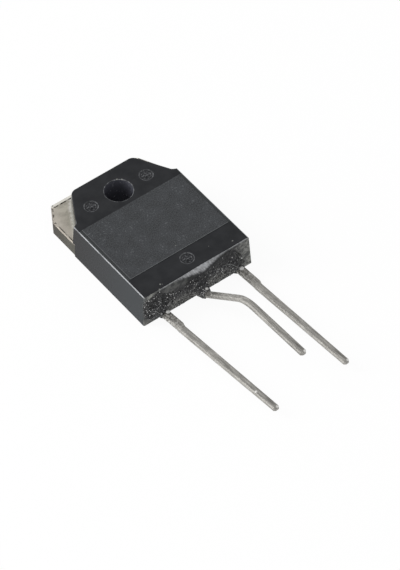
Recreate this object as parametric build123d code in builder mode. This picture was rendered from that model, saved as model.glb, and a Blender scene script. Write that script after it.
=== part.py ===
"""Power transistor in a TO-3P moulded package, in millimetres.

The part lies on its back. X runs across the package, Y from the leads towards the mounting hole and
Z from the back face up to the marked face. The origin is on the axis of the mounting hole, in the
plane of the back face.
"""

import os
from math import atan2, cos, radians, sin, tan

from build123d import *

os.makedirs("parts", exist_ok=True)

# ---- Moulded body ------------------------------------------------------------------------------
body_width = 15.6            # across the back face
body_height = 4.75           # back face to the smooth top face
side_draft = 3.4             # degrees, on the sides, the tapers and the far end
hole_to_lead_end = 15.25     # hole axis to the face that the leads come out of
hole_to_lower_shoulder = 1.6     # hole axis back to the end of the full-width block
hole_to_shoulder = 1.2       # hole axis back to the shoulder where it stands on the tab
hole_to_body_end = 3.6       # hole axis to the far face of the moulding, at the tab
body_end_width = 9.2         # across the far face of the moulding, at the tab
shoulder_step = 0.55         # how far the shoulder stands out from the start of the taper
shoulder_rise = 0.3          # slope of the shoulder towards the taper
body_end_radius = 1.0        # corners of the far face
taper_radius = 0.4           # hollow corner between shoulder and taper
base_side_radius = 0.22      # upright corner of the lead end on the base lead's side
emitter_side_radius = 0.6    # upright corner of the lead end on the emitter lead's side
edge_radius = 0.18           # round of the top edges

panel_length = 9.55          # marking panel, along Y
panel_width = 14.1           # marking panel, along X
panel_to_lead_end = 3.3      # lead end to the near edge of the panel
panel_relief = 0.05          # height of the panel above the smooth top face

mark_radius = 0.85           # ejector pin marks
mark_pip_radius = 0.35       # pip left standing in the middle of each mark
mark_depth = 0.06
mark_spread = 4.0            # marks beside the hole, from its axis
mark_to_lead_end = 1.87      # third mark, from the lead end

scuff_length = 10.8          # scraped facet along the top edge of the lead end
scuff_depth = 0.1            # how far it cuts into the top edge
scuff_drop = 1.35            # how far it runs down the lead end
scuff_offset = 1.0           # middle of the facet, off the centre line

bore_radius = 1.6            # insulated screw hole through the moulding
bore_mouth_radius = 1.74     # where its tapered upper part meets the top face
bore_taper_depth = 2.2
bore_rim_radius = 0.05

# ---- Heat spreader: the thick tab that carries the chip ----------------------------------------
tab_thickness = 1.9
tab_cover = 1.0              # moulding over each long side of the tab
ear_inset = 0.12             # each ear's side, in from the side of the moulding
hole_to_tab_end = 5.3        # hole axis to the far edge of the tab
ear_corner_width = 1.45      # cut-off corners of the ears, along X
base_corner_length = 2.4     # along Y, for the ear on the base lead's side
emitter_corner_length = 2.9  # and for the other ear
tab_hole_radius = 2.0        # larger than the bore, so that the moulding lines it
tab_edge_chamfer = 0.1       # broken top edges of the ears
tab_bevel_length = 0.5       # rolled-off top edge at the far end, along Y
tab_bevel_drop = 0.22        # and in height
stake_radius = 0.45          # studs of the tab's own metal that hold the collector lead
stake_spread = 0.95          # each stud from the centre line
stake_head_radius = 0.7
stake_head_height = 0.2

# ---- Leads -------------------------------------------------------------------------------------
lead_pitch = 5.45
lead_thickness = 0.6
tab_to_lead_top = 0.1        # how far the leads' top lies below the tab's
lead_edge_radius = 0.22
lead_width = 0.97
lead_shank_width = 1.1       # next to the moulding
lead_shank_shift = 0.12      # middle of the shank, to the +X side of the lead's
lead_root_width = 2.0        # inside the moulding, seen as a flare where it comes out
lead_root_length = 0.95      # length of that flare
shank_step_length = 0.5      # run of the step from shank to lead
lead_tip_width = 0.82
tip_length = 0.25            # rounded end of a lead
tip_end_width = 0.5
tip_end_thickness = 0.3
tip_end_radius = 0.12

base_lead_length = 20.1
base_lead_skew = 4.9         # degrees that the lead is bent sideways, towards +X
base_lead_offset = -0.2      # and how far it is pushed sideways at its root
base_shank_length = 4.05
emitter_lead_length = 19.7
emitter_lead_skew = 3.5
emitter_lead_offset = -0.25
emitter_shank_length = 4.45

collector_skew = 3.15        # degrees towards +X
collector_lead_width = 0.87
collector_straight = 1.7     # from the moulding to the first bend
collector_rise = 37.4        # degrees above the horizontal of the raised stretch
collector_rise_run = 6.9     # first bend to second bend, in plan
collector_fall = 3.1         # degrees below the horizontal after the second bend
collector_end_run = 9.85     # second bend to the rounded end, in plan
collector_bend_radii = (1.5, 4.2)
seat_width = 3.4             # inner end of the collector lead, seated on the tab
seat_length = 1.3
joggle_length = 0.8          # where the collector lead steps up onto the tab

pad_width = 4.4              # bonding pads on the inner ends of the base and emitter leads
pad_length = 2.1
pad_to_lead_end = 0.9        # lead end to the near edge of the pads
pad_to_strip = 1.1           # gap between each pad and the collector's strip
pad_to_tab = 0.6             # gap between the pads and the tab

# ---- Chip, its solder and its bonding wires ----------------------------------------------------
chip_size = 5.0
chip_thickness = 0.3
chip_to_seat = 0.6           # seat of the collector lead to the near edge of the chip
solder_margin = 0.25         # solder beyond the chip all round
solder_thickness = 0.07
wire_radius = 0.19
foot_length = 0.9            # wedge bond at each end of a wire
foot_width = 0.5
foot_height = 0.24
foot_heel = 0.22             # middle of a foot to where the wire rises from it
loop_height = 1.2            # top of a wire's centre line above the chip
base_foot = (0.75, 0.9, 1.5)     # from the chip's side, its near edge, and the pad's inner edge
emitter_feet = ((2.0, 0.9, 1.0), (0.75, 1.7, 2.6))

# ---- Places that several pieces share ----------------------------------------------------------
draft_rate = tan(radians(side_draft))
tab_width = body_width - 2 * tab_cover
ear_width = body_width - 2 * ear_inset
lead_end = -hole_to_lead_end
lead_top = tab_thickness - tab_to_lead_top
lead_back = lead_top - lead_thickness
lead_middle = lead_top - lead_thickness / 2
pad_inner_edge = lead_root_width / 2 + pad_to_strip
pad_near_edge = lead_end + pad_to_lead_end
tab_near_edge = pad_near_edge + pad_length + pad_to_tab
seat_top = tab_thickness + lead_thickness
seat_end = tab_near_edge + seat_length
chip_near_edge = seat_end + chip_to_seat
solder_top = tab_thickness + solder_thickness
chip_top = solder_top + chip_thickness


def across_lead(root, skew, run):
    """Plane across a lead at a distance from the moulding: X to the side, Y up, Z outwards."""
    angle = radians(skew)
    outwards = Vector(sin(angle), -cos(angle), 0)
    sideways = Vector(cos(angle), sin(angle), 0)
    return Plane(Vector(root, lead_end, lead_middle) + outwards * run, x_dir=sideways, z_dir=outwards)


# ---- Heat spreader: thick copper, stamped, with two studs staked over the collector lead -------
with BuildPart() as heat_spreader:
    # Narrow inside the moulding, with ears of nearly the full width beyond it.
    with BuildSketch():
        with BuildLine():
            Polyline(
                (-tab_width / 2, tab_near_edge),
                (tab_width / 2, tab_near_edge),
                (tab_width / 2, -hole_to_lower_shoulder),
                (ear_width / 2, -hole_to_lower_shoulder),
                (ear_width / 2, hole_to_tab_end - emitter_corner_length),
                (ear_width / 2 - ear_corner_width, hole_to_tab_end),
                (ear_corner_width - ear_width / 2, hole_to_tab_end),
                (-ear_width / 2, hole_to_tab_end - base_corner_length),
                (-ear_width / 2, -hole_to_lower_shoulder),
                (-tab_width / 2, -hole_to_lower_shoulder),
                close=True,
            )
        make_face()
    extrude(amount=tab_thickness)
    far_face = faces().sort_by(Axis.Y)[-1]
    far_edge = far_face.edges().sort_by(Axis.Z)[-1]
    chamfer(far_edge, length=tab_bevel_drop, length2=tab_bevel_length, reference=far_face)
    ear_edges = [
        edge
        for edge in edges().group_by(Axis.Z)[-1]
        if abs(edge.center().X) > tab_width / 2 and edge.center().Y > -hole_to_lower_shoulder
    ]
    chamfer(ear_edges, tab_edge_chamfer)
    with Locations((0, 0, tab_thickness)):
        Hole(tab_hole_radius)
    for level, radius, height in (
        (tab_thickness, stake_radius, lead_thickness),
        (seat_top, stake_head_radius, stake_head_height),
    ):
        with BuildSketch(Plane.XY.offset(level)):
            with Locations((0, seat_end - seat_length / 2)):
                with GridLocations(2 * stake_spread, 0, 2, 1):
                    Circle(radius)
        extrude(amount=height)
heat_spreader.part.label = "heat_spreader"

# ---- Collector lead: a stamping seated on the tab, formed upwards outside the moulding ---------
along_collector = across_lead(0, collector_skew, 0)
rise_plane = Plane(along_collector.origin, x_dir=along_collector.z_dir, z_dir=-along_collector.x_dir)
second_bend = collector_straight + collector_rise_run
rise_height = collector_rise_run * tan(radians(collector_rise))
fall_height = collector_end_run * tan(radians(collector_fall))

with BuildPart() as collector_lead:
    # Strip inside the moulding, stepped up onto the tab.
    with BuildSketch(Plane.YZ):
        with BuildLine():
            Polyline(
                (lead_end, lead_back),
                (tab_near_edge - joggle_length, lead_back),
                (tab_near_edge, tab_thickness),
                (seat_end, tab_thickness),
                (seat_end, seat_top),
                (tab_near_edge, seat_top),
                (tab_near_edge - joggle_length, lead_top),
                (lead_end, lead_top),
                close=True,
            )
        make_face()
    extrude(amount=lead_root_width / 2, both=True)
    with BuildSketch(Plane.XY.offset(tab_thickness)):
        with Locations((0, tab_near_edge)):
            Rectangle(seat_width, seat_length, align=(Align.CENTER, Align.MIN))
    extrude(amount=lead_thickness)
    with Locations((0, seat_end - seat_length / 2, seat_top)):
        with GridLocations(2 * stake_spread, 0, 2, 1):
            Hole(stake_radius)
    # Flared root outside the moulding.
    with BuildSketch(across_lead(0, 0, 0)):
        RectangleRounded(lead_root_width, lead_thickness, lead_edge_radius)
    with BuildSketch(across_lead(0, collector_skew, lead_root_length)):
        RectangleRounded(collector_lead_width, lead_thickness, lead_edge_radius)
    loft(ruled=True)
    # Straight out, raised, and bent back to run level with the other two.
    with BuildLine(rise_plane) as formed:
        FilletPolyline(
            (lead_root_length, 0),
            (collector_straight, 0),
            (second_bend, rise_height),
            (second_bend + collector_end_run, rise_height - fall_height),
            radius=collector_bend_radii,
        )
    with BuildSketch(across_lead(0, collector_skew, lead_root_length)):
        RectangleRounded(collector_lead_width, lead_thickness, lead_edge_radius)
    sweep()
    # Its rounded end.
    tip_start = Plane(formed.line @ 1, x_dir=along_collector.x_dir, z_dir=formed.line % 1)
    with BuildSketch(tip_start):
        RectangleRounded(collector_lead_width, lead_thickness, lead_edge_radius)
    with BuildSketch(tip_start.offset(tip_length)):
        RectangleRounded(tip_end_width, tip_end_thickness, tip_end_radius)
    loft(ruled=True)
collector_lead.part.label = "collector_lead"

# ---- Base and emitter leads: straight stampings with a bonding pad inside the moulding ---------
inner_parts = [heat_spreader, collector_lead]
for name, side, skew, offset, length, shank_length in (
    ("base_lead", -1, base_lead_skew, base_lead_offset, base_lead_length, base_shank_length),
    ("emitter_lead", 1, emitter_lead_skew, emitter_lead_offset, emitter_lead_length, emitter_shank_length),
):
    with BuildPart() as lead:
        with BuildSketch(Plane.XY.offset(lead_back)):
            with Locations((side * (pad_inner_edge + pad_width / 2), pad_near_edge)):
                Rectangle(pad_width, pad_length, align=(Align.CENTER, Align.MIN))
            with Locations((side * lead_pitch, lead_end)):
                Rectangle(lead_root_width, pad_to_lead_end, align=(Align.CENTER, Align.MIN))
        extrude(amount=lead_thickness)
        # The step from shank to lead is nearly all on the +X side, so the shank is off the middle.
        with BuildSketch(across_lead(side * lead_pitch, 0, 0)):
            RectangleRounded(lead_root_width, lead_thickness, lead_edge_radius)
        for run, shift, width in (
            (lead_root_length, lead_shank_shift, lead_shank_width),
            (shank_length - shank_step_length, lead_shank_shift, lead_shank_width),
            (shank_length, 0, lead_width),
            (length - tip_length, 0, lead_tip_width),
        ):
            with BuildSketch(across_lead(side * lead_pitch, skew, run)):
                with Locations((offset + shift, 0)):
                    RectangleRounded(width, lead_thickness, lead_edge_radius)
        with BuildSketch(across_lead(side * lead_pitch, skew, length)):
            with Locations((offset, 0)):
                RectangleRounded(tip_end_width, tip_end_thickness, tip_end_radius)
        loft(ruled=True)
    lead.part.label = name
    inner_parts.append(lead)

# ---- Chip and the solder that holds it to the tab ----------------------------------------------
with BuildPart() as chip_solder:
    with BuildSketch(Plane.XY.offset(tab_thickness)):
        with Locations((0, chip_near_edge - solder_margin)):
            solder_size = chip_size + 2 * solder_margin
            Rectangle(solder_size, solder_size, align=(Align.CENTER, Align.MIN))
        fillet(vertices(), solder_margin)
    extrude(amount=solder_thickness)
chip_solder.part.label = "chip_solder"
inner_parts.append(chip_solder)

with BuildPart() as silicon_chip:
    with BuildSketch(Plane.XY.offset(solder_top)):
        with Locations((0, chip_near_edge)):
            Rectangle(chip_size, chip_size, align=(Align.CENTER, Align.MIN))
    extrude(amount=chip_thickness)
silicon_chip.part.label = "silicon_chip"
inner_parts.append(silicon_chip)

# ---- Bonding wires: drawn aluminium, wedge bonded to the chip and to a lead's pad --------------
pad_level = lead_top - chip_top
for name, side, (from_chip_side, from_chip_edge, from_pad_edge) in (
    ("base_wire", -1, base_foot),
    ("emitter_wire_1", 1, emitter_feet[0]),
    ("emitter_wire_2", 1, emitter_feet[1]),
):
    start = Vector(side * (chip_size / 2 - from_chip_side), chip_near_edge + from_chip_edge, chip_top)
    finish = Vector(side * (pad_inner_edge + from_pad_edge), pad_near_edge + pad_length / 2, chip_top)
    plan = finish - start
    span = plan.length
    wire_plane = Plane(start, x_dir=plan, z_dir=plan.cross(Vector(0, 0, 1)))
    with BuildPart() as wire:
        with BuildSketch(wire_plane):
            with Locations((0, 0), (span, pad_level)):
                Rectangle(foot_length, foot_height, align=(Align.CENTER, Align.MIN))
        extrude(amount=foot_width / 2, both=True)
        with BuildLine(wire_plane) as loop:
            ThreePointArc(
                (foot_heel, foot_height),
                (span / 2, loop_height),
                (span - foot_heel, pad_level + foot_height),
            )
        with BuildSketch(Plane(loop.line @ 0, z_dir=loop.line % 0)):
            Circle(wire_radius)
        sweep()
    wire.part.label = name
    inner_parts.append(wire)

# ---- Moulded body: epoxy, cast round everything above ------------------------------------------
with BuildPart() as moulded_body:
    # Full-width block beside the tab, then the whole plan above the tab.
    for bottom, top, beyond_tab in ((0, tab_thickness, False), (tab_thickness, body_height, True)):
        for level in (bottom, top):
            inset = level * draft_rate
            rise = (level - tab_thickness) * draft_rate
            half = body_width / 2 - inset
            neck_x = half - shoulder_step
            neck_y = shoulder_rise - hole_to_shoulder - rise
            with BuildSketch(Plane.XY.offset(level)):
                with BuildLine():
                    if beyond_tab:
                        Polyline(
                            (0, lead_end),
                            (half, lead_end),
                            (half, -hole_to_shoulder - rise),
                            (neck_x, neck_y),
                            (body_end_width / 2 - rise, hole_to_body_end - rise),
                            (0, hole_to_body_end - rise),
                        )
                    else:
                        Polyline(
                            (0, lead_end),
                            (half, lead_end),
                            (half, -hole_to_lower_shoulder),
                            (0, -hole_to_lower_shoulder),
                        )
                    mirror(about=Plane.YZ)
                make_face()
                near_corners = vertices().group_by(Axis.Y)[0].sort_by(Axis.X)
                fillet(near_corners[0], base_side_radius)
                fillet(near_corners[-1], emitter_side_radius)
                if beyond_tab:
                    fillet(vertices().group_by(Axis.Y)[-1], body_end_radius)
                    for side in (-1, 1):
                        neck = vertices().sort_by_distance((side * neck_x, neck_y))[0]
                        fillet(neck, taper_radius)
        loft(ruled=True)
    # Every top edge is rounded except the one over the leads.
    top_edges = faces().sort_by(Axis.Z)[-1].outer_wire().edges()
    fillet(top_edges.sort_by(Axis.Y)[1:], edge_radius)
    # Scraped facet: a shallow hollow that leans out of the lead end as it goes down.
    scuff_lean = atan2(scuff_depth, scuff_drop)
    scuff_plane = Plane(
        (scuff_offset, lead_end, body_height),
        x_dir=(1, 0, 0),
        z_dir=(0, -sin(scuff_lean), -cos(scuff_lean)),
    )
    with BuildSketch(scuff_plane):
        with BuildLine():
            scuff_edge = ThreePointArc((-scuff_length / 2, 0), (0, -scuff_depth), (scuff_length / 2, 0))
            Polyline(
                scuff_edge @ 1,
                (scuff_length / 2, scuff_drop),
                (-scuff_length / 2, scuff_drop),
                scuff_edge @ 0,
            )
        make_face()
    extrude(amount=2 * scuff_drop, both=True, mode=Mode.SUBTRACT)
    # Marking panel.
    with BuildSketch(Plane.XY.offset(body_height)):
        with Locations((0, lead_end + panel_to_lead_end)):
            Rectangle(panel_width, panel_length, align=(Align.CENTER, Align.MIN))
    extrude(amount=panel_relief)
    # Ejector pin marks, each a shallow recess round a pip.
    with BuildSketch(Plane.XY.offset(body_height)):
        with Locations((-mark_spread, 0), (mark_spread, 0), (0, lead_end + mark_to_lead_end)):
            Circle(mark_radius)
            Circle(mark_pip_radius, mode=Mode.SUBTRACT)
    extrude(amount=-mark_depth, mode=Mode.SUBTRACT)
    # The moulding fills the tab's hole, so that its own bore is lined and insulated.
    with BuildSketch():
        Circle(tab_hole_radius)
    extrude(amount=tab_thickness)
    with Locations((0, 0, body_height)):
        Hole(bore_radius)
    with BuildSketch(Plane.XY.offset(body_height)):
        Circle(bore_mouth_radius)
    with BuildSketch(Plane.XY.offset(body_height - bore_taper_depth)):
        Circle(bore_radius)
    loft(mode=Mode.SUBTRACT)
    bore_rim = edges().filter_by(GeomType.CIRCLE).sort_by_distance((0, 0, body_height))[0]
    fillet(bore_rim, bore_rim_radius)
    for piece in inner_parts:
        add(piece.part, mode=Mode.SUBTRACT)
moulded_body.part.label = "moulded_body"

for piece in (moulded_body, *inner_parts):
    export_step(piece.part, f"parts/{piece.part.label}.step")
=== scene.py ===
"""A power transistor in a moulded package: the finish of every surface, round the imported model."""

from math import cos, exp, hypot, pi, radians, sin

import bmesh
import bpy
from mathutils import Matrix, Vector, noise


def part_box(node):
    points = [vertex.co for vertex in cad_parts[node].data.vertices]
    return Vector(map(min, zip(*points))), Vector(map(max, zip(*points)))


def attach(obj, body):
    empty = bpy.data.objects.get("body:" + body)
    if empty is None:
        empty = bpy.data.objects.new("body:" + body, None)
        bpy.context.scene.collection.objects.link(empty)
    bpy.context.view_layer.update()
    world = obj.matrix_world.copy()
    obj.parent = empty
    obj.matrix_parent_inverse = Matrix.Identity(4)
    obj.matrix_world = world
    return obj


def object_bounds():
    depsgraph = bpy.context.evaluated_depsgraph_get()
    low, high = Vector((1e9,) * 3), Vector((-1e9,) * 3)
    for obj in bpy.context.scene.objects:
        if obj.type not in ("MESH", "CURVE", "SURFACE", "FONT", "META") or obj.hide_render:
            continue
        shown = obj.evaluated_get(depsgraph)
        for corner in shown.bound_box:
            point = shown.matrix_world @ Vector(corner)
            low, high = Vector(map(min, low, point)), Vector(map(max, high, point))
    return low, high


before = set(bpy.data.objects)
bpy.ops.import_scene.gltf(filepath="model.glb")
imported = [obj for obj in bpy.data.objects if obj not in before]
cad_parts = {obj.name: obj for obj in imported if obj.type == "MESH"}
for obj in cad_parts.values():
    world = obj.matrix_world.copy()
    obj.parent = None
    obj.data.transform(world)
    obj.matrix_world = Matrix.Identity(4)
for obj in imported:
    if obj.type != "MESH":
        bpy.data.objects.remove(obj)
cad_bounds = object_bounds()
mm = 0.001

# ---- Moulded body ------------------------------------------------------------------------------
# Black epoxy filled with fine silica, transfer moulded round the tab and the leads. The mould was
# polished where it made the smooth faces, and spark eroded where it made the marking panel.

body_low, body_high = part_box("moulded_body")
tab_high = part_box("heat_spreader")[1]
lead_end = body_low.y
half_width = body_high.x
panel_relief = 0.05 * mm
panel_length = 9.55 * mm
panel_near_edge = lead_end + 3.3 * mm
panel_far_edge = panel_near_edge + panel_length
panel_side_edge = 7.05 * mm
top_face = body_high.z - panel_relief
top_skin = 0.12 * mm  # what is further down isn't on the top face
edge_radius = 0.18 * mm
end_lean = 0.62 * mm  # the drafted lead end leans back by less than this
pin_mark_places = ((-4.0 * mm, 0), (4.0 * mm, 0), (0, lead_end + 1.87 * mm))
pin_mark_radius = 0.83 * mm
pip_radius = 0.75 * pin_mark_radius
bore_mouth_radius = 1.76 * mm  # of the worn ring, just outside the cut edge
bore_shade_depth = 2.4 * mm  # the bore's wall is painted darkest from here down, as shade
pale_corner = Vector((-5.6 * mm, -3.6 * mm, top_face))  # of the panel, with more flecks than the rest
film_levels = (  # along the lead end from 0 to 1, and how thick the film is there
    (0.0, 0.55),
    (0.05, 0.3),
    (0.4, 0.18),
    (0.55, 0.0),
    (0.8, 0.1),
    (0.87, 0.3),
    (0.94, 0.7),
    (1.0, 1.0),
)
scrape_sheen_levels = (  # along the lead end from 0 to 1, and how bright the scuff is painted there, bare and as a reflection
    (0.14, 0.1),
    (0.28, 0.4),
    (0.42, 0.78),
    (0.58, 0.85),
    (0.68, 0.6),
    (0.85, 0.35),
    (0.99, 0.1),
)
scrape_lower_edge = (  # along X, and up Z, in millimetres
    (-5.2, 4.75),
    (-3.9, 4.62),
    (-2.8, 4.35),
    (-1.7, 4.07),
    (-0.8, 3.8),
    (0.0, 3.57),
    (0.7, 3.42),
    (1.2, 3.42),
    (1.8, 3.66),
    (2.4, 3.92),
    (3.0, 4.14),
    (4.3, 4.44),
    (5.6, 4.62),
    (7.4, 4.75),
)
scrape_box = (3 * mm, 5 * mm)  # the lowest and highest Z that its curve can reach
scrape_slant = radians(28)
chips_and_glints = (  # place in millimetres, with Y from the lead end, and radius
    ((-4.8, 0.62, 4.75), 0.12),
    ((-4.6, 0.5, 4.75), 0.07),
    ((-5.3, 0.02, 4.72), 0.16),
    ((-6.6, 0.0, 4.55), 0.24),
    # The next two, on the bore's far rim, are painted highlights.
    ((0.87, 16.82, 4.75), 0.12),
    ((1.33, 16.46, 4.75), 0.12),
    ((5.69, 0.71, 4.75), 0.09),
    ((3.04, 1.8, 4.75), 0.05),
    ((7.25, 0.05, 4.05), 0.13),
    ((0.07, 4.2, 4.8), 0.08),
)
spot_raggedness = 0.12 * mm


def linear(code):
    """A colour's sRGB hex code as the linear colour that a shader takes."""
    channels = [int(code[i : i + 2], 16) / 255 for i in (1, 3, 5)]
    return tuple(c / 12.92 if c <= 0.04045 else ((c + 0.055) / 1.055) ** 2.4 for c in channels) + (1,)


def add_node(tree, kind, inputs=(), output=None, **settings):
    """Adds a node with its settings, and returns an output: the first in use, or the one named.

    Inputs come in order, or by name. Each is a value, an sRGB hex code or another node's output. A
    kind that isn't given whole is a shader node's.
    """
    made = tree.nodes.new(kind if "Node" in kind else "ShaderNode" + kind)
    for name, value in settings.items():
        setattr(made, name, value)
    if not isinstance(inputs, dict):
        in_use = [i for i, socket in enumerate(made.inputs) if socket.enabled]
        inputs = dict(zip(in_use, inputs))
    for name, value in inputs.items():
        if isinstance(value, bpy.types.NodeSocket):
            tree.links.new(value, made.inputs[name])
        else:
            made.inputs[name].default_value = linear(value) if str(value).startswith("#") else value
    return made.outputs[output] if output else next((o for o in made.outputs if o.enabled), None)


def new_material(name):
    """A material with nothing but its output and a Principled shader."""
    material = bpy.data.materials.new(name)
    material.use_nodes = True
    tree = material.node_tree
    return material, tree, tree.nodes["Principled BSDF"]


def overlap(tree, mask, *others):
    """Where several masks overlap: all of them multiplied together. A mask's strength may be one."""
    for other in others:
        mask = add_node(tree, "Math", (mask, other), operation="MULTIPLY")
    return mask


def set_stops(color_ramp, stops, interpolation="LINEAR"):
    """Gives a colour ramp its stops, each a position with a level or an sRGB hex code."""
    color_ramp.interpolation = interpolation
    elements = color_ramp.elements
    elements[0].position, elements[1].position = stops[0][0], stops[-1][0]
    for position, _ in stops[1:-1]:
        elements.new(position)
    for element, (_, shade) in zip(elements, stops):
        element.color = linear(shade) if isinstance(shade, str) else (shade, shade, shade, 1)


def read_place(tree):
    """A point's place on the part, whole and along each axis."""
    place = add_node(tree, "TexCoord", output="Object")
    return place, add_node(tree, "SeparateXYZ", (place,)).node.outputs


def read_facing(tree):
    """The direction that the surface faces, along each axis."""
    normal = add_node(tree, "NewGeometry", output="Normal")
    return add_node(tree, "SeparateXYZ", (normal,)).node.outputs


def polished_grey(tree, axes, facing, cloud):
    """Colour of the smooth faces: nearly even on top, and shaded along the sides and tapered ends."""
    # The sides are painted darker towards the far end, as shade, faintly purple there and bluer
    # towards the leads. The tapered ends are dusty where they stand on the tab. A share is how far the
    # second of two colours covers the first.
    share = add_node(tree, "MapRange", (cloud, 0.35, 0.65))
    top = add_node(tree, "Mix", (share, "#2a2b2d", "#313234"), data_type="RGBA")
    # Painted shade: the sides darken towards the far end.
    share = add_node(tree, "MapRange", (axes["Y"], -1 * mm, lead_end + 3 * mm))
    side = add_node(tree, "Mix", (share, "#19181a", "#2a2e31"), data_type="RGBA")
    dusty = add_node(tree, "MapRange", (axes["Z"], top_face - 0.3 * mm, tab_high.z))
    taper = add_node(tree, "Mix", (dusty, side, "#8b8c87"), data_type="RGBA")
    share = add_node(tree, "MapRange", (facing["Y"], 0.1, 0.4))
    side = add_node(tree, "Mix", (share, side, taper), data_type="RGBA")
    sideways = add_node(tree, "Math", (facing["X"],), operation="ABSOLUTE")
    share = add_node(tree, "MapRange", (sideways, 0.6, 0.8))
    smooth = add_node(tree, "Mix", (share, top, side), data_type="RGBA")
    # The strips beside the panel are a little eroded too.
    across = add_node(tree, "Math", (axes["X"],), operation="ABSOLUTE")
    beside = overlap(
        tree,
        add_node(tree, "Math", (axes["Z"], top_face - top_skin), operation="GREATER_THAN"),
        add_node(tree, "MapRange", (across, 6.7 * mm, 7.0 * mm)),
        add_node(tree, "Math", (axes["Y"], panel_near_edge), operation="GREATER_THAN"),
        add_node(tree, "Math", (axes["Y"], panel_far_edge), operation="LESS_THAN"),
    )
    return add_node(tree, "Mix", (beside, smooth, "#3d3f40"), data_type="RGBA")


def eroded_grey(tree, place, axes, fine, cloud):
    """Colour of the marking panel: flecks of filler, clouded from the flow of the epoxy."""
    share = add_node(tree, "MapRange", (fine, 0.3, 0.7))
    grey = add_node(tree, "Mix", (share, "#252628", "#535557"), data_type="RGBA")
    share = add_node(tree, "MapRange", (cloud, 0.4, 0.62, 0.0, 0.5))
    grey = add_node(tree, "Mix", (share, grey, "#484a4d"), data_type="RGBA")
    from_corner = add_node(tree, "VectorMath", (place, pale_corner), operation="DISTANCE")
    shift = add_node(tree, "MapRange", (from_corner, 1.8 * mm, 0.6 * mm, 0.0, 0.2))
    clusters = add_node(tree, "Math", (cloud, shift), operation="ADD")
    patches = add_node(tree, "TexNoise", (place, 1 / (0.22 * mm)))
    flecks = add_node(tree, "MapRange", (patches, 0.58, 0.7, 0.0, 0.5))
    flecks = overlap(tree, flecks, add_node(tree, "MapRange", (clusters, 0.48, 0.68, 0.1, 1.0)))
    grey = add_node(tree, "Mix", (flecks, grey, "#7c7e80"), data_type="RGBA")
    # Its near rim and left rim catch the light.
    near_rim = add_node(tree, "Math", (axes["Y"], panel_near_edge, 0.07 * mm), operation="COMPARE")
    side_rim = add_node(tree, "Math", (axes["X"], -panel_side_edge, 0.06 * mm), operation="COMPARE")
    share = overlap(tree, add_node(tree, "Math", (near_rim, side_rim), operation="MAXIMUM"), 0.45)
    return add_node(tree, "Mix", (share, grey, "#7c7e80"), data_type="RGBA")


def worn_lines(tree, place, breaks):
    """How worn the top is: rings round the pin marks and the bore, and the worn pips of the pins."""
    worn = 0.0
    rings = [(x, y, pin_mark_radius, 0.06 * mm, 0.42, 0.64) for x, y in pin_mark_places]
    rings.append((0, 0, bore_mouth_radius, 0.05 * mm, 0.42, 0.62))
    for x, y, radius, line, low, high in rings:
        flat = add_node(tree, "VectorMath", (place, (1, 1, 0), (-x, -y, 0)), operation="MULTIPLY_ADD")
        distance = add_node(tree, "VectorMath", (flat,), operation="LENGTH")
        ring = add_node(tree, "Math", (distance, radius, line), operation="COMPARE")
        ring = overlap(tree, ring, add_node(tree, "MapRange", (breaks, low, high, 0.2, 0.75)))
        worn = add_node(tree, "Math", (ring, worn), operation="MAXIMUM")
        if radius == pin_mark_radius:
            pip = add_node(tree, "Math", (distance, pip_radius), operation="LESS_THAN")
            stretched = add_node(tree, "VectorMath", (flat, (1 / 1.8, 1 / 0.8, 1)), operation="MULTIPLY")
            strokes = add_node(tree, "TexNoise", (stretched, 1 / (0.22 * mm)))
            pip = overlap(tree, pip, add_node(tree, "MapRange", (strokes, 0.46, 0.68, 0.0, 0.6)))
            worn = add_node(tree, "Math", (pip, worn), operation="MAXIMUM")
    return worn


def end_scrape_sheen(tree, place, axes, along_end, breaks):
    """How bare the scuff under the top edge is, with its painted reflection, streaked aslant and fading out
    downwards.
    """
    curve = add_node(tree, "FloatCurve", {"Value": along_end})
    mapping = curve.node.mapping
    low, high = scrape_box
    for x, z in scrape_lower_edge:
        mapping.curves[0].points.new((x * mm + half_width) / (2 * half_width), (z * mm - low) / (high - low))
    mapping.update()
    lower_edge = add_node(tree, "MapRange", (curve, 0.0, 1.0, low, high))
    slanted = add_node(tree, "Mapping", {"Vector": place, "Rotation": (0, scrape_slant, 0)})
    stretched = add_node(tree, "VectorMath", (slanted, (1, 1, 1 / 3.5)), operation="MULTIPLY")
    streaks = add_node(tree, "TexNoise", (stretched, 1 / (0.2 * mm), 3.0))
    above = add_node(tree, "Math", (axes["Z"], lower_edge), operation="SUBTRACT")
    shift = add_node(tree, "MapRange", (streaks, 0.3, 0.7, -0.12 * mm, 0.12 * mm))
    above = add_node(tree, "Math", (above, shift), operation="ADD")
    bright = add_node(tree, "ValToRGB", (along_end,))
    set_stops(bright.node.color_ramp, scrape_sheen_levels)
    scrape_sheen = overlap(
        tree,
        add_node(tree, "MapRange", (above, -0.04 * mm, 0.42 * mm)),
        bright,
        add_node(tree, "MapRange", (streaks, 0.3, 0.65, 0.45, 1.1)),
    )
    # Its top edge catches the light all along.
    lip = overlap(
        tree,
        add_node(tree, "MapRange", (axes["Z"], top_face - 0.2 * mm, top_face - 0.08 * mm, 0.0, 0.55)),
        add_node(tree, "MapRange", (axes["X"], -5.8 * mm, -4.6 * mm)),
        add_node(tree, "MapRange", (breaks, 0.3, 0.55, 0.4, 1.0)),
    )
    return add_node(tree, "Math", (scrape_sheen, lip), operation="MAXIMUM")


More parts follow.
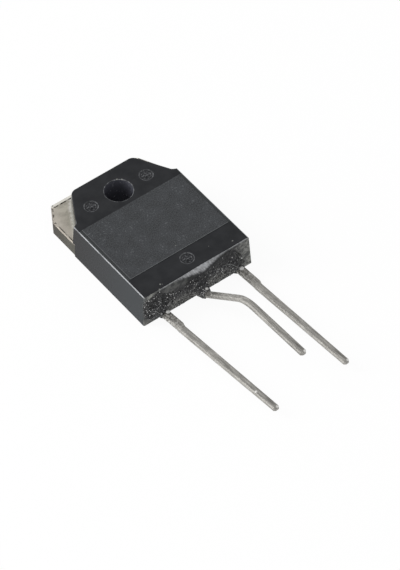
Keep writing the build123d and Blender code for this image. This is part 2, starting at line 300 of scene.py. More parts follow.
def chip_and_glint_spots(tree, place):
    """Where the broken-out spots and flecks are, and two painted highlights by the bore, ragged in outline.
    """
    wobble = add_node(tree, "TexNoise", (place, 1 / spot_raggedness), output="Color")
    reach = (2 * spot_raggedness,) * 3
    ragged = add_node(tree, "VectorMath", (wobble, reach, place), operation="MULTIPLY_ADD")
    chip_and_glint = 0.0
    for (x, y, z), radius in chips_and_glints:
        # The wobble is half of its reach on average, so the middle is moved by as much.
        middle = Vector((x * mm, lead_end + y * mm, z * mm)) + Vector((spot_raggedness,) * 3)
        distance = add_node(tree, "VectorMath", (ragged, middle), operation="DISTANCE")
        spot = add_node(tree, "MapRange", (distance, radius * mm, 0.6 * radius * mm))
        chip_and_glint = add_node(tree, "Math", (chip_and_glint, spot), operation="MAXIMUM")
    return chip_and_glint


def filled_epoxy():
    """Filled epoxy: black, glossy from a polished mould and matt and greyer from an eroded one."""
    material, tree, shader = new_material("filled_epoxy")
    place, axes = read_place(tree)
    facing = read_facing(tree)
    # The filler's own grain is several times finer. It is drawn this coarse so that it shows.
    fine = add_node(tree, "TexNoise", (place, 1 / (0.12 * mm), 3.0))
    cloud = add_node(tree, "TexNoise", (place, 1 / (1.6 * mm), 3.0))
    breaks = add_node(tree, "TexNoise", (place, 1 / (0.4 * mm), 3.0))
    panel = add_node(tree, "MapRange", (axes["Z"], top_face + 0.3 * panel_relief, body_high.z))
    smooth = polished_grey(tree, axes, facing, cloud)
    eroded = eroded_grey(tree, place, axes, fine, cloud)
    colour = add_node(tree, "Mix", (panel, smooth, eroded), data_type="RGBA")
    on_top = add_node(tree, "Math", (axes["Z"], top_face - top_skin), operation="GREATER_THAN")
    share = overlap(tree, worn_lines(tree, place, breaks), on_top)
    colour = add_node(tree, "Mix", (share, colour, "#838487"), data_type="RGBA")

    # The bore's wall, painted darker further down as shade, and a little dusty.
    flat = add_node(tree, "VectorMath", (place, (1, 1, 0)), operation="MULTIPLY")
    from_axis = add_node(tree, "VectorMath", (flat,), operation="LENGTH")
    in_bore = overlap(
        tree,
        add_node(tree, "Math", (from_axis, bore_mouth_radius + 0.02 * mm), operation="LESS_THAN"),
        add_node(tree, "Math", (axes["Z"], top_face - 0.08 * mm), operation="LESS_THAN"),
    )
    patches = add_node(tree, "TexNoise", (place, 1 / (0.2 * mm)))
    dust = add_node(tree, "MapRange", (patches, 0.66, 0.74))
    share = add_node(tree, "MapRange", (axes["Z"], top_face - bore_shade_depth, top_face))
    wall = add_node(tree, "Mix", (share, "#3a3b42", "#4a4b53"), data_type="RGBA")
    wall = add_node(tree, "Mix", (dust, wall, "#85868c"), data_type="RGBA")
    colour = add_node(tree, "Mix", (in_bore, colour, wall), data_type="RGBA")

    # Rubbed round of the long top edges, where the filler shows, and a painted highlight along them.
    slope = overlap(tree, add_node(tree, "Math", (facing["X"],), operation="ABSOLUTE"), facing["Z"])
    stretched = add_node(tree, "VectorMath", (place, (1, 1 / 4, 1)), operation="MULTIPLY")
    patches = add_node(tree, "TexNoise", (stretched, 1 / (0.5 * mm)))
    rubbed_and_highlight = overlap(
        tree,
        add_node(tree, "MapRange", (slope, 0.26, 0.46)),
        add_node(tree, "MapRange", (patches, 0.2, 0.5)),
        add_node(tree, "Math", (axes["Z"], top_face - edge_radius), operation="GREATER_THAN"),
        add_node(tree, "MapRange", (axes["Y"], -0.6 * mm, -1.2 * mm)),
    )
    colour = add_node(tree, "Mix", (overlap(tree, rubbed_and_highlight, 0.85), colour, "#b4b6b9"), data_type="RGBA")

    # Lead end: a greenish film, thickest at its corners, and the scuff, bare and with a painted reflection.
    on_end = overlap(
        tree,
        add_node(tree, "Math", (axes["Y"], lead_end + end_lean), operation="LESS_THAN"),
        add_node(tree, "Math", (facing["Z"], 0.8), operation="LESS_THAN"),
        add_node(tree, "MapRange", (facing["Y"], -0.1, -0.5)),
    )
    along_end = add_node(tree, "MapRange", (axes["X"], -half_width, half_width))
    dusty_corner = overlap(
        tree,
        add_node(tree, "MapRange", (axes["X"], -5.7 * mm, -6.6 * mm, 0.0, 0.95)),
        add_node(tree, "MapRange", (axes["Z"], 3.8 * mm, 4.4 * mm)),
    )
    film = add_node(tree, "ValToRGB", (along_end,))
    set_stops(film.node.color_ramp, film_levels)
    film = add_node(tree, "Math", (film, dusty_corner), operation="MAXIMUM")
    patches = add_node(tree, "TexNoise", (place, 1 / (0.5 * mm), 3.0))
    blotches = add_node(tree, "MapRange", (patches, 0.4, 0.6, 0.2, 1.0))
    film = overlap(tree, film, blotches, on_end)
    colour = add_node(tree, "Mix", (film, colour, "#9b9c97"), data_type="RGBA")
    scrape_sheen = overlap(tree, end_scrape_sheen(tree, place, axes, along_end, breaks), on_end)
    colour = add_node(tree, "Mix", (scrape_sheen, colour, "#c2c4c7"), data_type="RGBA")
    # Broken-out spots and flecks, and two painted highlights by the bore.
    share = overlap(tree, chip_and_glint_spots(tree, place), 0.7)
    colour = add_node(tree, "Mix", (share, colour, "#9a9b96"), data_type="RGBA")

    tree.links.new(colour, shader.inputs["Base Color"])
    shader.inputs["Specular IOR Level"].default_value = 0.1
    marred = add_node(tree, "Math", (scrape_sheen, film), operation="MAXIMUM")
    marred = add_node(tree, "Math", (marred, overlap(tree, rubbed_and_highlight, 0.4)), operation="MAXIMUM")
    roughness = add_node(tree, "MapRange", (panel, 0.0, 1.0, 0.24, 0.62))
    roughness = add_node(tree, "Math", (roughness, overlap(tree, marred, 0.6)), operation="MAXIMUM")
    roughness = add_node(tree, "Math", (roughness, overlap(tree, in_bore, 0.95)), operation="MAXIMUM")
    tree.links.new(roughness, shader.inputs["Roughness"])
    relief = overlap(tree, fine, add_node(tree, "Math", (panel, scrape_sheen), operation="MAXIMUM"))
    bump = add_node(tree, "Bump", {"Height": relief, "Strength": 0.5, "Distance": 0.03 * mm})
    tree.links.new(bump, shader.inputs["Normal"])
    return material


def refinish(name, material):
    """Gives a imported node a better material."""
    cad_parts[name].data.materials.clear()
    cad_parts[name].data.materials.append(material)


refinish("moulded_body", filled_epoxy())

# ---- Tab ---------------------------------------------------------------------------------------
# Thick copper, stamped and plated with dull tin. Its ears stand clear of the moulding. The cut
# sides have little tin on them and have gone brown.

crease_place = tab_high.y - 0.6 * mm
corner_length = 2.4 * mm
corner_place = Vector((tab_high.x, tab_high.y - corner_length))  # where an ear's cut corner starts
corner_inwards = Vector((-0.856, -0.517))  # square to the cut
taper_place = Vector((4.6 * mm, 3.6 * mm))  # where the moulding's taper ends, on each side
taper_outwards = Vector((0.88, 0.476))  # square to the taper


def beyond(tree, across, along, place, direction):
    """How far a point lies beyond a slanted line, with its X given without its sign."""
    x = add_node(tree, "Math", (across, place.x), operation="SUBTRACT")
    y = add_node(tree, "Math", (along, place.y), operation="SUBTRACT")
    x = add_node(tree, "Math", (x, direction.x), operation="MULTIPLY")
    y = add_node(tree, "Math", (y, direction.y), operation="MULTIPLY")
    return add_node(tree, "Math", (x, y), operation="ADD")


def plated_copper():
    """Dull tin over copper: a soft grey metal on top, stained, and dark brown on the cut sides."""
    material, tree, shader = new_material("plated_copper")
    place, axes = read_place(tree)
    facing = read_facing(tree)
    across = add_node(tree, "Math", (axes["X"],), operation="ABSOLUTE")
    stain = add_node(tree, "TexNoise", (place, 1 / (1.1 * mm), 4.0))
    # The grain of dull tin is far finer. It is drawn this coarse so that it shows.
    fine = add_node(tree, "TexNoise", (place, 1 / (0.16 * mm), 3.0))
    breaks = add_node(tree, "TexNoise", (place, 1 / (0.5 * mm), 3.0))
    share = add_node(tree, "MapRange", (stain, 0.36, 0.64))
    colour = add_node(tree, "Mix", (share, "#a09c90", "#d3cec1"), data_type="RGBA")
    share = add_node(tree, "MapRange", (fine, 0.5, 0.75, 0.0, 0.3))
    colour = add_node(tree, "Mix", (share, colour, "#e6e3da"), data_type="RGBA")
    share = add_node(tree, "MapRange", (across, 5.4 * mm, 7.2 * mm, 0.0, 0.5))
    colour = add_node(tree, "Mix", (share, colour, "#efe7dd"), data_type="RGBA")
    # A painted highlight along the moulding, brightest next to it.
    from_moulding = beyond(tree, across, axes["Y"], taper_place, taper_outwards)
    moulding_side_highlight = add_node(tree, "MapRange", (from_moulding, 0.4 * mm, 0.1 * mm))
    moulding_side_highlight = overlap(tree, moulding_side_highlight, add_node(tree, "MapRange", (breaks, 0.36, 0.56, 0.1, 0.8)))
    colour = add_node(tree, "Mix", (moulding_side_highlight, colour, "#f6f4ee"), data_type="RGBA")
    # Rolled far edge, wiped lighter, and a dark line along the crease where it starts. Fainter dark
    # lines follow the sides and the cut corners.
    rolled = add_node(tree, "MapRange", (axes["Y"], crease_place, crease_place + 0.1 * mm, 0.0, 0.8))
    colour = add_node(tree, "Mix", (rolled, colour, "#eceae3"), data_type="RGBA")
    crease = add_node(tree, "Math", (axes["Y"], crease_place, 0.09 * mm), operation="COMPARE")
    side_line = add_node(tree, "Math", (across, tab_high.x - 0.22 * mm, 0.07 * mm), operation="COMPARE")
    from_corner = beyond(tree, across, axes["Y"], corner_place, corner_inwards)
    corner_line = add_node(tree, "Math", (from_corner, 0.2 * mm, 0.08 * mm), operation="COMPARE")
    faint = overlap(tree, add_node(tree, "Math", (side_line, corner_line), operation="MAXIMUM"), 0.8)
    crease = overlap(
        tree,
        add_node(tree, "Math", (crease, faint), operation="MAXIMUM"),
        add_node(tree, "MapRange", (breaks, 0.44, 0.54)),
    )
    colour = add_node(tree, "Mix", (crease, colour, "#3f3c35"), data_type="RGBA")
    # The broken top edges, painted darker to dim their highlight, more at the cut corners than
    # along the sides.
    sloping = add_node(tree, "Math", (facing["Z"], 0.7, 0.2), operation="COMPARE")
    near_corner = add_node(
        tree, "MapRange", (axes["Y"], tab_high.y - 3.4 * mm, tab_high.y - 2.7 * mm, 0.4, 0.8)
    )
    colour = add_node(tree, "Mix", (overlap(tree, sloping, near_corner), colour, "#77706b"), data_type="RGBA")
    # The cut sides, greener towards the moulding.
    level = add_node(tree, "Math", (facing["Z"],), operation="ABSOLUTE")
    cut = add_node(tree, "MapRange", (level, 0.5, 0.3))
    share = add_node(tree, "MapRange", (fine, 0.3, 0.7))
    brown = add_node(tree, "Mix", (share, "#28251f", "#423d33"), data_type="RGBA")
    greener = add_node(
        tree, "MapRange", (axes["Y"], tab_high.y - corner_length, tab_high.y - 5.5 * mm, 0.0, 0.5)
    )
    brown = add_node(tree, "Mix", (greener, brown, "#56554a"), data_type="RGBA")
    colour = add_node(tree, "Mix", (cut, colour, brown), data_type="RGBA")
    tree.links.new(colour, shader.inputs["Base Color"])
    tree.links.new(add_node(tree, "MapRange", (cut, 0.0, 1.0, 1.0, 0.35)), shader.inputs["Metallic"])
    smeared = add_node(tree, "MapRange", (stain, 0.3, 0.7, 0.6, 0.5))
    roughness = add_node(tree, "Math", (smeared, overlap(tree, sloping, 0.75)), operation="MAXIMUM")
    tree.links.new(roughness, shader.inputs["Roughness"])
    bump = add_node(tree, "Bump", {"Height": fine, "Strength": 0.25, "Distance": 0.02 * mm})
    tree.links.new(bump, shader.inputs["Normal"])
    return material


refinish("heat_spreader", plated_copper())

# ---- Leads -------------------------------------------------------------------------------------
# Thin copper strip, stamped, formed and dipped in tin, and held at the root by the moulding. The tin
# is dull, with long soft bands where it ran.

lead_skews = {"base_lead": 4.9, "collector_lead": 3.15, "emitter_lead": 3.5}  # in degrees
lead_level = 1.5 * mm
cut_end_length = 0.3 * mm  # a lead's corners within this of its end are the cut end's own
nick = Vector((-4.39 * mm, -31.97 * mm, 1.8 * mm))
tip_glint = Vector((0.2 * mm, 0.05 * mm, 0.25 * mm))  # from the middle of a cut end
streak_offset = Vector((0.12 * mm, 1.0 * mm, 0.3 * mm))  # the same, once the skew is turned out


def tinned_copper(name, skew):
    """Tin-dipped copper: soft bands along the lead, where the tin ran and where it was drawn over."""
    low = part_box(name)[0]
    ends = [v.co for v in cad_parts[name].data.vertices if v.co.y < low.y + cut_end_length]
    tip = sum(ends, Vector()) / len(ends)
    material, tree, shader = new_material("tinned_copper_" + name)
    place, axes = read_place(tree)
    straight = add_node(tree, "Mapping", {"Vector": place, "Rotation": (0, 0, -radians(skew))})
    stretched = add_node(tree, "VectorMath", (straight, (1, 1 / 14, 1)), operation="MULTIPLY")
    bands = add_node(tree, "TexNoise", (stretched, 1 / (0.2 * mm), 3.0))
    stretched = add_node(tree, "VectorMath", (straight, (1, 1 / 3, 1)), operation="MULTIPLY")
    grain = add_node(tree, "TexNoise", (stretched, 1 / (0.35 * mm), 3.0))
    # The tin's pits are smaller. They are drawn this coarse so that they show.
    pits = add_node(tree, "TexNoise", (place, 1 / (0.2 * mm)))
    share = add_node(tree, "MapRange", (bands, 0.36, 0.64))
    colour = add_node(tree, "Mix", (share, "#9b9995", "#c6c4bf"), data_type="RGBA")
    share = add_node(tree, "MapRange", (grain, 0.38, 0.62, 0.0, 0.45))
    colour = add_node(tree, "Mix", (share, colour, "#8a8883"), data_type="RGBA")
    share = add_node(tree, "MapRange", (pits, 0.6, 0.72, 0.0, 0.25))
    colour = add_node(tree, "Mix", (share, colour, "#e9e8e4"), data_type="RGBA")
    # A dark streak before the cut end, where the cutters bent it, and two bright places.
    streak_middle = Matrix.Rotation(-radians(skew), 3, "Z") @ tip + streak_offset
    from_streak = add_node(tree, "VectorMath", (straight, streak_middle), operation="SUBTRACT")
    from_streak = add_node(
        tree, "VectorMath", (from_streak, (5 / mm, 0.8 / mm, 1 / mm)), operation="MULTIPLY"
    )
    from_streak = add_node(tree, "VectorMath", (from_streak,), operation="LENGTH")
    share = add_node(tree, "MapRange", (from_streak, 1.0, 0.3, 0.0, 0.6))
    colour = add_node(tree, "Mix", (share, colour, "#6b6965"), data_type="RGBA")
    for bright in (tip + tip_glint, nick):
        distance = add_node(tree, "VectorMath", (place, bright), operation="DISTANCE")
        share = add_node(tree, "MapRange", (distance, 0.2 * mm, 0.1 * mm, 0.0, 0.85))
        colour = add_node(tree, "Mix", (share, colour, "#f6f5f2"), data_type="RGBA")
    # Stains and splashes next to the moulding.
    root = add_node(tree, "MapRange", (axes["Y"], lead_end - 5.0 * mm, lead_end - 1.5 * mm))
    spots = add_node(tree, "TexNoise", (place, 1 / (0.26 * mm), 3.0))
    stain = overlap(tree, add_node(tree, "MapRange", (spots, 0.46, 0.58)), root, 0.8)
    colour = add_node(tree, "Mix", (stain, colour, "#5d5b57"), data_type="RGBA")
    splash = overlap(tree, add_node(tree, "MapRange", (spots, 0.41, 0.35)), root, 0.8)
    colour = add_node(tree, "Mix", (splash, colour, "#f2f1ee"), data_type="RGBA")
    tree.links.new(colour, shader.inputs["Base Color"])
    shader.inputs["Metallic"].default_value = 0.85
    tree.links.new(add_node(tree, "MapRange", (bands, 0.3, 0.7, 0.62, 0.78)), shader.inputs["Roughness"])
    bump = add_node(tree, "Bump", {"Height": pits, "Strength": 0.2, "Distance": 0.03 * mm})
    tree.links.new(bump, shader.inputs["Normal"])
    return material


for name, skew in lead_skews.items():
    refinish(name, tinned_copper(name, skew))

# ---- Inside of the package ---------------------------------------------------------------------
# A silicon chip, soldered flat on the tab, and three aluminium wires, bonded from the pads of the
# outer leads to the chip's top. The moulding seals them in, so each has an even finish.


def plain_finish(name, code, metallic, rough):
    """An even finish, without texture."""
    material, tree, shader = new_material(name)
    shader.inputs["Base Color"].default_value = linear(code)
    shader.inputs["Metallic"].default_value = metallic
    shader.inputs["Roughness"].default_value = rough
    return material


# Polished silicon: dark bluish grey, nearly a mirror.
refinish("silicon_chip", plain_finish("silicon", "#5a5f68", 0.4, 0.2))
# Soft solder, remelted: a grey metal, a little dull.
refinish("chip_solder", plain_finish("soft_solder", "#9a9b9d", 1.0, 0.4))
# Drawn aluminium wire: a paler metal, bright from the die.
drawn_aluminium = plain_finish("drawn_aluminium", "#c9cacc", 1.0, 0.3)
for name in ("base_wire", "emitter_wire_1", "emitter_wire_2"):
    refinish(name, drawn_aluminium)

# ---- Residue on the lead end -------------------------------------------------------------------
# Dried flux and grit that cakes the end of the moulding and climbs the roots of the leads. It is a
# lumpy coat, thick at the leads and thin towards its upper edge, with grains stuck all over it.

climbs = (  # each lead's X, how far the coat climbs it, and how far round it the coat thickens
    (-5.45 * mm, 1.1 * mm, 0.42 * mm),
    (0.05 * mm, 1.75 * mm, 0.45 * mm),
    (5.4 * mm, 1.1 * mm, 0.45 * mm),
)
foot_steepness = 3  # how much faster the coat grows from its lower edge than from the others
climb_falloff = 1.4  # the power with which it thins away from a lead
thinner_below = 2.2  # and how many times faster it thins under one
lead_width = 0.9 * mm
lead_thickness = 0.6 * mm
coat_thickness = 0.1 * mm
coat_lumps = (  # size across, height, and the Y at which the noise is read
    (0.55 * mm, 0.1 * mm, 0.0),
    (0.18 * mm, 0.15 * mm, 7 * mm),
)
thinnest_coat = 0.01 * mm
coat_rim = 0.3 * mm  # over this width the coat grows to its full thickness
coat_sunk = 0.12 * mm  # how far its closed back lies inside the moulding
edge_wave, edge_ripple = 0.3 * mm, 0.16 * mm  # length and height of the upper edge's raggedness
coat_upper_edge = (  # along X, and up Z, in millimetres
    (-7.7, 3.9),
    (-6.8, 4.1),
    (-6.2, 4.42),
    (-5.3, 4.4),
    (-4.6, 3.65),
    (-3.9, 3.15),
    (-2.7, 2.98),
    (-0.8, 3.05),
    (0.4, 3.1),
    (1.4, 3.15),
    (2.0, 3.4),
    (2.9, 3.8),
    (4.2, 4.25),
    (5.0, 4.35),
    (5.7, 4.25),
    (6.1, 3.1),
    (6.4, 1.6),
    (6.9, 0.9),
)
coat_lower_edge = ((-7.7, 1.6), (-7.3, 0.9), (-6.7, 0.4), (-6.0, 0.12), (5.8, 0.12), (6.4, 0.35), (6.9, 0.75))
threads = (  # raised threads of flux, each through points along X and up Z, in millimetres
    ((3.2, 2.35), (3.8, 2.5), (4.6, 2.35), (5.3, 1.9), (5.9, 1.4), (6.2, 1.0)),
    ((-0.35, 1.25), (-0.05, 1.5), (0.3, 1.4), (0.5, 1.0), (0.35, 0.6), (0.0, 0.45)),
    ((-6.7, 2.2), (-6.3, 2.05), (-6.0, 1.75), (-5.95, 1.4)),
    ((7.0, 1.75), (6.85, 1.5), (6.75, 1.25), (6.8, 0.95)),
    ((-7.35, 2.5), (-7.4, 2.1), (-7.2, 1.7)),
)
thread_radius = 0.04 * mm
thread_shade = 0.85
thread_sides = 8
least_grain_shade = 0.1
grain_shades = (  # a grain's own value from 0 to 1, and the colour from there on
    (0.0, "#0f1012"),
    (0.45, "#222325"),
    (0.63, "#444547"),
    (0.76, "#7a7b7b"),
    (0.87, "#b9b9b9"),
    (0.94, "#e2e2e1"),
)


def along(points, x):
    """The height, in metres, of a line through points given in millimetres."""
    for (x0, z0), (x1, z1) in zip(points, points[1:]):
        if x <= x1 * mm or (x1, z1) == points[-1]:
            return z0 * mm + (z1 - z0) * (x - x0 * mm) / (x1 - x0)


def coat_height(x, z, edge):
    """How far the coat stands out of the lead end. The edge runs from 0 at its rim to 1 inside."""
    lump = sum(noise.noise(Vector((x, y, z)) / size) * height for size, height, y in coat_lumps)
    fillet = 0.0
    for place, climb, reach in climbs:
        across = max(abs(x - place) - lead_width / 2, 0)
        above = max(abs(z - lead_level) - lead_thickness / 2, 0)
        above *= thinner_below if z < lead_level else 1
        fillet = max(fillet, climb * exp(-((hypot(across, above) / reach) ** climb_falloff)))
    return max(thinnest_coat, (coat_thickness + lump) * edge + fillet)


def residue_coat():
    """The coat as a closed shell on the lead end, on a grid between its two edges."""
    steps_x, steps_z = 190, 52
    shape = bmesh.new()
    outer, inner = [], []
    left, right = coat_upper_edge[0][0] * mm, coat_upper_edge[-1][0] * mm
    for i in range(steps_x + 1):
        x = left + (right - left) * i / steps_x
        ragged = noise.noise(Vector((x, 0, 0)) / edge_wave) * edge_ripple
        low = along(coat_lower_edge, x)
        high = along(coat_upper_edge, x) + ragged
        for j in range(steps_z + 1):
            z = low + (high - low) * j / steps_z
            rim = min(high - z, x - left, right - x, (z - low) * foot_steepness) / coat_rim
            outer.append(shape.verts.new((x, lead_end - coat_height(x, z, min(rim, 1)), z)))
            inner.append(shape.verts.new((x, lead_end + coat_sunk, z)))
    rows = steps_z + 1
    for i in range(steps_x):
        for j in range(steps_z):
            a = i * rows + j
            b = a + rows
            shape.faces.new((outer[a], outer[b], outer[b + 1], outer[a + 1]))
            shape.faces.new((inner[a], inner[a + 1], inner[b + 1], inner[b]))
    border = [i * rows for i in range(steps_x + 1)]
    border += [steps_x * rows + j for j in range(1, rows)]
    border += [i * rows + steps_z for i in range(steps_x - 1, -1, -1)]
    border += range(steps_z - 1, 0, -1)
    for a, b in zip(border, border[1:] + border[:1]):
        shape.faces.new((outer[b], outer[a], inner[a], inner[b]))
    bmesh.ops.recalc_face_normals(shape, faces=shape.faces)
    mesh = bpy.data.meshes.new("end_residue")
    shape.to_mesh(mesh)
    shape.free()
    return mesh


def scatter_tree(name):
    """Geometry Nodes that stick grains on a surface's outer side and give each its own shade."""
    tree = bpy.data.node_groups.new(name, "GeometryNodeTree")
    for socket, kind in (
        ("Geometry", "Geometry"),
        ("Grains per Area", "Float"),
        ("Clump Size", "Float"),
        ("Smallest Grain", "Float"),
        ("Largest Grain", "Float"),
        ("Finish", "Material"),
    ):
        tree.interface.new_socket(socket, in_out="INPUT", socket_type="NodeSocket" + kind)
    tree.interface.new_socket("Geometry", in_out="OUTPUT", socket_type="NodeSocketGeometry")
    inputs = tree.nodes.new("NodeGroupInput").outputs
    normal = add_node(tree, "GeometryNodeInputNormal")
    inwards = add_node(tree, "SeparateXYZ", (normal,), output="Y")
    outwards = add_node(tree, "FunctionNodeCompare", (inwards, 0.3), operation="LESS_THAN")
    place = add_node(tree, "GeometryNodeInputPosition")
    axes = add_node(tree, "SeparateXYZ", (place,)).node.outputs
    scaled = add_node(tree, "VectorMath", (place, inputs["Clump Size"]), operation="DIVIDE")
    clumps = add_node(tree, "TexNoise", (scaled, 1.0))
    # Few of them stick high up on the right.
    high_up = add_node(tree, "MapRange", (axes["Z"], 2.0 * mm, 3.1 * mm))
    bare = overlap(tree, high_up, add_node(tree, "MapRange", (axes["X"], 0, 1.5 * mm, 0.5, 0.9)))
    density = overlap(
        tree,
        inputs["Grains per Area"],
        add_node(tree, "MapRange", (clumps, 0.38, 0.6, 0.1, 1.5)),
        add_node(tree, "Math", (1.0, bare), operation="SUBTRACT"),
    )
    points = add_node(
        tree,
        "GeometryNodeDistributePointsOnFaces",
        {"Mesh": inputs["Geometry"], "Selection": outwards, "Density": density, "Seed": 4},
    )
    grain = add_node(tree, "GeometryNodeMeshIcoSphere", {"Radius": 1.0, "Subdivisions": 1})
    turn = add_node(
        tree,
        "FunctionNodeRandomValue",
        {0: (0, 0, 0), 1: (2 * pi, 2 * pi, 2 * pi), "Seed": 1},
        data_type="FLOAT_VECTOR",
    )
    low = add_node(tree, "CombineXYZ", (inputs["Smallest Grain"],) * 3)
    high = add_node(tree, "CombineXYZ", (inputs["Largest Grain"],) * 3)
    size = add_node(
        tree, "FunctionNodeRandomValue", {0: low, 1: high, "Seed": 2}, data_type="FLOAT_VECTOR"
    )
    grains = add_node(
        tree,
        "GeometryNodeInstanceOnPoints",
        {"Points": points, "Instance": grain, "Rotation": turn, "Scale": size},
    )
    shade = add_node(
        tree, "FunctionNodeRandomValue", {2: least_grain_shade, 3: 1.0, "Seed": 3}, data_type="FLOAT"
    )
    shaded = add_node(
        tree,
        "GeometryNodeStoreNamedAttribute",
        {"Geometry": grains, "Name": "shade", "Value": shade},
        domain="INSTANCE",
        data_type="FLOAT",
    )
    real = add_node(tree, "GeometryNodeRealizeInstances", {"Geometry": shaded})
    joined = add_node(tree, "GeometryNodeJoinGeometry", (real,))
    tree.links.new(inputs["Geometry"], joined.node.inputs[0])
    finished = add_node(tree, "GeometryNodeSetMaterial", {"Geometry": joined, "Material": inputs["Finish"]})
    tree.links.new(finished, tree.nodes.new("NodeGroupOutput").inputs[0])
    return tree


def gritty_flux():
    """Baked flux full of grit: black and glassy above, dusty and greyer below, grains of all shades."""
    material, tree, shader = new_material("gritty_flux")
    shade = add_node(tree, "Attribute", output="Fac", attribute_name="shade")
    grains = add_node(tree, "ValToRGB", (shade,))
    set_stops(grains.node.color_ramp, grain_shades, "CONSTANT")
    place, axes = read_place(tree)
    mottle = add_node(tree, "TexNoise", (place, 1 / (0.35 * mm), 4.0))
    share = add_node(tree, "MapRange", (axes["Z"], 2.3 * mm, 3.2 * mm))
    dull = add_node(tree, "Mix", (share, "#424346", "#252628"), data_type="RGBA")
    share = add_node(tree, "MapRange", (mottle, 0.42, 0.66))
    glaze = add_node(tree, "Mix", (share, "#0a0b0d", dull), data_type="RGBA")
    share = add_node(tree, "MapRange", (mottle, 0.36, 0.6))
    dust = add_node(tree, "Mix", (share, "#333334", "#8a8a87"), data_type="RGBA")
    # The dust lies low down, and between the two outer leads only.
    wander = add_node(tree, "MapRange", (mottle, 0.3, 0.7, -0.5 * mm, 0.5 * mm))
    wavy_height = add_node(tree, "Math", (axes["Z"], wander), operation="ADD")
    dusty = overlap(
        tree,
        add_node(tree, "MapRange", (wavy_height, 2.1 * mm, 1.4 * mm)),
        add_node(tree, "MapRange", (axes["X"], -5.0 * mm, -4.3 * mm)),
        add_node(tree, "MapRange", (axes["X"], 5.9 * mm, 5.2 * mm)),
    )
    coat = add_node(tree, "Mix", (dusty, glaze, dust), data_type="RGBA")
    # It thins out to a grey film at the right.
    wavy_across = add_node(tree, "Math", (axes["X"], wander), operation="ADD")
    thin = add_node(tree, "MapRange", (wavy_across, 5.5 * mm, 6.2 * mm, 0.0, 0.85))
    coat = add_node(tree, "Mix", (thin, coat, "#636460"), data_type="RGBA")
    # The coat itself has no shade, which reads as 0.
    is_grain = add_node(tree, "Math", (shade, least_grain_shade / 2), operation="GREATER_THAN")
    dusted = add_node(tree, "Mix", (overlap(tree, dusty, 0.3), grains, dust), data_type="RGBA")
    colour = add_node(tree, "Mix", (is_grain, coat, dusted), data_type="RGBA")
    tree.links.new(colour, shader.inputs["Base Color"])
    tree.links.new(add_node(tree, "MapRange", (dusty, 0.0, 1.0, 0.3, 0.7)), shader.inputs["Roughness"])
    return material


def link_piece(name, mesh):
    """An object at the origin that carries a mesh."""
    mesh.name = name
    piece = bpy.data.objects.new(name, mesh)
    bpy.context.scene.collection.objects.link(piece)
    return piece


def through_nodes(name, mesh, tree, values):
    """Runs a mesh through Geometry Nodes with the given input values and returns it as a plain piece."""
    carrier = link_piece(name + "_carrier", mesh)
    modifier = carrier.modifiers.new("nodes", "NODES")
    modifier.node_group = tree
    for item in tree.interface.items_tree:
        if item.in_out == "INPUT" and item.name in values:
            modifier[item.identifier] = values[item.name]
    bpy.context.view_layer.update()
    made = bpy.data.meshes.new_from_object(carrier.evaluated_get(bpy.context.evaluated_depsgraph_get()))
    carrier.modifiers.remove(modifier)
    bpy.data.objects.remove(carrier)
    return link_piece(name, made)


baked_flux = gritty_flux()
residue = through_nodes(
    "end_residue",
    residue_coat(),
    scatter_tree("stick_grains"),
    {
        "Grains per Area": 66 / mm**2,
        "Clump Size": 0.7 * mm,
        "Smallest Grain": 0.02 * mm,
        "Largest Grain": 0.09 * mm,
        "Finish": baked_flux,
    },
)
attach(residue, "root")


def flux_threads():
    """The raised threads, each a thin closed tube laid on the coat, and all of one pale shade."""
    shape = bmesh.new()
    for points in threads:
        spine = [Vector((x * mm, 0, z * mm)) for x, z in points]
        for point in spine:
            point.y = lead_end - coat_height(point.x, point.z, 1.0)
        rings = []
        for i, point in enumerate(spine):
            run = (spine[min(i + 1, len(spine) - 1)] - spine[max(i - 1, 0)]).normalized()
            across = run.cross(Vector((0, 1, 0))).normalized()
            outwards = across.cross(run)
            radius = thread_radius * (0.5 if i in (0, len(spine) - 1) else 1.0)
            rings.append(
                [
                    shape.verts.new(point + (across * cos(a) + outwards * sin(a)) * radius)
                    for a in (2 * pi * k / thread_sides for k in range(thread_sides))
                ]
            )
        for ring, following in zip(rings, rings[1:]):
            for k in range(thread_sides):
                after = (k + 1) % thread_sides
                shape.faces.new((ring[k], ring[after], following[after], following[k]))
        shape.faces.new(rings[0])
        shape.faces.new(rings[-1])
    bmesh.ops.recalc_face_normals(shape, faces=shape.faces)
    for face in shape.faces:
        face.smooth = True
    mesh = bpy.data.meshes.new("flux_threads")
    shape.to_mesh(mesh)
    shape.free()
    shades = mesh.attributes.new("shade", "FLOAT", "POINT").data
    shades.foreach_set("value", [thread_shade] * len(mesh.vertices))
    mesh.materials.append(baked_flux)
    return mesh


flux = link_piece("flux_threads", flux_threads())
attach(flux, "root")

# ---- Solder beads ------------------------------------------------------------------------------
# A small bead on each lead, where it comes out of the residue. It is solder that ran up the lead and
# froze there, lumpy and dull.

bead_places = {  # centre, with Y from the lead end, and radius, in millimetres
    "base_bead": ((-5.25, -1.32, 2.0), 0.27),
    "collector_bead": ((0.27, -1.38, 2.1), 0.22),
    "emitter_bead": ((5.4, -1.32, 1.94), 0.29),
}
bead_lump_size, bead_lumpiness = 0.2 * mm, 0.12
bead_flatness = 0.8
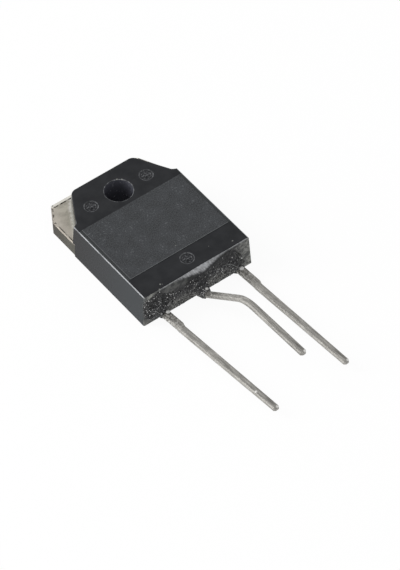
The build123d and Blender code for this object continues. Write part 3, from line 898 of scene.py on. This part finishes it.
# Solder that cooled slowly: pale, and matt from its grain.
dull_solder = plain_finish("dull_solder", "#c2c2c0", 0.5, 0.5)
for name, ((x, y, z), radius) in bead_places.items():
    bead = bmesh.new()
    bmesh.ops.create_icosphere(bead, subdivisions=3, radius=radius * mm)
    for vertex in bead.verts:
        vertex.co *= 1 + bead_lumpiness * noise.noise(vertex.co / bead_lump_size + Vector((x, 0, 0)))
        vertex.co.z *= bead_flatness
        vertex.co += Vector((x * mm, lead_end + y * mm, z * mm))
    for face in bead.faces:
        face.smooth = True
    mesh = bpy.data.meshes.new(name)
    bead.to_mesh(mesh)
    bead.free()
    mesh.materials.append(dull_solder)
    piece = link_piece(name, mesh)
    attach(piece, "root")

# ---- Studio ------------------------------------------------------------------------------------
# A pale table that runs out to white, one soft lamp behind on the left and a fainter one overhead.


def aim(place, direction, roll=0.0):
    """The matrix of a lamp or camera at a place, looking along a direction with world Z upwards."""
    back = -Vector(direction).normalized()
    right = Vector((0, 0, 1)).cross(back).normalized()
    up = back.cross(right)
    right, up = right * cos(roll) + up * sin(roll), up * cos(roll) - right * sin(roll)
    turned = Matrix((right, up, back)).transposed().to_4x4()
    return Matrix.Translation(place) @ turned


def add_lamp(name, direction, distance, width, height, radiance):
    """A rectangular softbox of a given radiance, seen from the part in a given direction."""
    lamp = bpy.data.lights.new(name, "AREA")
    lamp.shape = "RECTANGLE"
    lamp.size = width
    lamp.size_y = height
    lamp.energy = radiance * pi * width * height
    holder = bpy.data.objects.new(name, lamp)
    towards = Vector(direction).normalized()
    middle = Vector((0, lead_end / 2, 0))
    holder.matrix_world = aim(middle + towards * distance, -towards)
    bpy.context.scene.collection.objects.link(holder)


add_lamp("lamp_left_back", (-0.68, 0.55, 0.49), distance=0.6, width=0.22, height=0.6, radiance=7.0)
add_lamp("lamp_overhead", (-0.25, -0.35, 0.9), distance=0.8, width=0.5, height=0.5, radiance=1.4)

world = bpy.data.worlds.new("studio")
bpy.context.scene.world = world
world.use_nodes = True
sky = world.node_tree
sky.nodes.clear()
# White light from all round, less of it from above than from the horizon.
direction = add_node(sky, "TexCoord", output="Generated")
height = add_node(sky, "SeparateXYZ", (direction,), output="Z")
strength = add_node(sky, "MapRange", (height, 0.05, 0.6, 1.0, 0.42))
background = add_node(sky, "Background", ("#ffffff", strength))
add_node(sky, "OutputWorld", (background,))

table_reach = 3.0
table_level = cad_bounds[0][2] - 0.01 * mm
table_corners = ((-1, -1), (1, -1), (1, 1), (-1, 1))
corners = [(x * table_reach, y * table_reach, table_level) for x, y in table_corners]
floor_mesh = bpy.data.meshes.new("table")
floor_mesh.from_pydata(corners, [], [(0, 1, 2, 3)])
floor = bpy.data.objects.new("table", floor_mesh)
bpy.context.scene.collection.objects.link(floor)
table_white, tree, shader = new_material("table_white")
shader.inputs["Base Color"].default_value = linear("#ffffff")
shader.inputs["Roughness"].default_value = 0.9
paper = add_node(tree, "Emission", ("#ffffff", 1.0))
rays = add_node(tree, "LightPath").node.outputs
seen = add_node(tree, "Math", (rays["Is Camera Ray"], rays["Is Glossy Ray"]), operation="MAXIMUM")
seen = add_node(tree, "Math", (seen, rays["Is Transmission Ray"]), operation="MAXIMUM")
own_light = add_node(tree, "Math", (seen, 0.93), operation="MULTIPLY")  # the rest takes the faint shadow
mixed = add_node(tree, "MixShader", (own_light, shader.outputs[0], paper))
tree.links.new(mixed, tree.nodes["Material Output"].inputs["Surface"])
floor.data.materials.append(table_white)

# ---- Camera ------------------------------------------------------------------------------------
# A long lens from above the near left corner, rolled a little. It looks slightly past its target,
# by the two slopes, so that the part isn't in the middle.

view_azimuth = radians(-34.11)
view_elevation = radians(48.73)
view_roll = radians(-3.26)
view_distance = 0.40144
view_target = Vector((0, lead_end + 8.15 * mm, 2.4 * mm))
slope_right = 0.012948
slope_up = -0.013262

run = cos(view_elevation)
back = Vector((sin(view_azimuth) * run, -cos(view_azimuth) * run, sin(view_elevation)))
camera = bpy.data.objects.new("camera", bpy.data.cameras.new("camera"))
camera.data.lens = 217.2
camera.data.sensor_width = 36.0
camera.data.clip_start = 0.01
eye = view_target + back * view_distance
level_view = aim(eye, -back, view_roll)
right, up = level_view.col[0].xyz, level_view.col[1].xyz
new_back = -(right * slope_right + up * slope_up - back).normalized()
new_right = (right - new_back * right.dot(new_back)).normalized()
turned = Matrix((new_right, new_back.cross(new_right), new_back)).transposed().to_4x4()
camera.matrix_world = Matrix.Translation(eye) @ turned
bpy.context.scene.collection.objects.link(camera)
bpy.context.scene.camera = camera
bpy.context.scene.view_settings.view_transform = "Standard"
